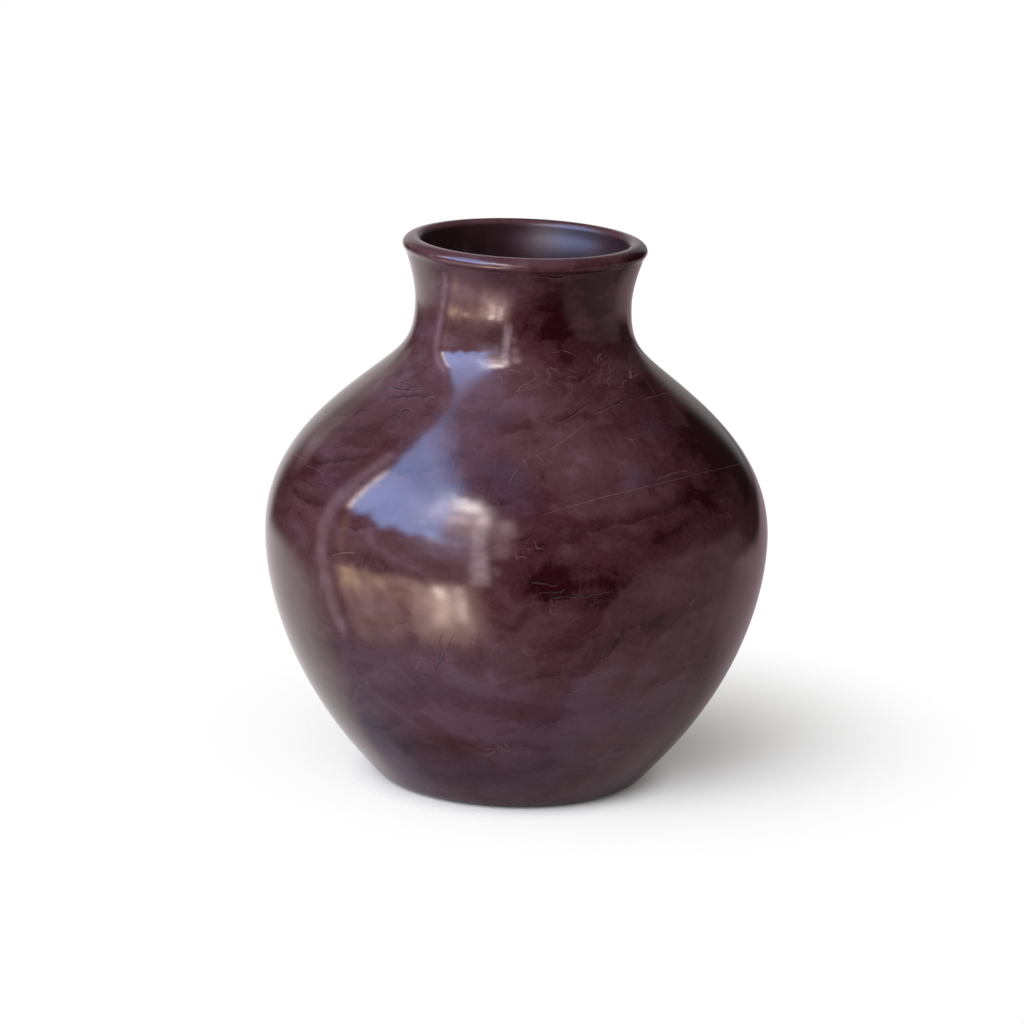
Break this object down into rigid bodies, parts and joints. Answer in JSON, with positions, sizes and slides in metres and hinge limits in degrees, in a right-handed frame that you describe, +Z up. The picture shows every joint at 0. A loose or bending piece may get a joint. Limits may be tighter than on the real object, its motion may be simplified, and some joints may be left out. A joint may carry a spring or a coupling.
{
  "type": "globe vase",
  "caption": "Polished purple-brown stone vase with a globe belly, short waisted neck, thick rolled lip and flat felted foot, for flowers or display.",
  "frame": {"origin": "on the vase's axis, on the surface that it stands on, at the underside of the felt", "axes": "+Z up the vase's axis to the mouth, -Y towards the viewer of the picture, +X to the viewer's right"},
  "size_m": [0.2, 0.2, 0.2182],
  "materials": {
    "polished_stone": "polished",
    "base_felt": "matte"
  },
  "bodies": {
    "root": {"vase_body": "polished_stone", "base_felt": "base_felt"}
  },
  "joints": []
}
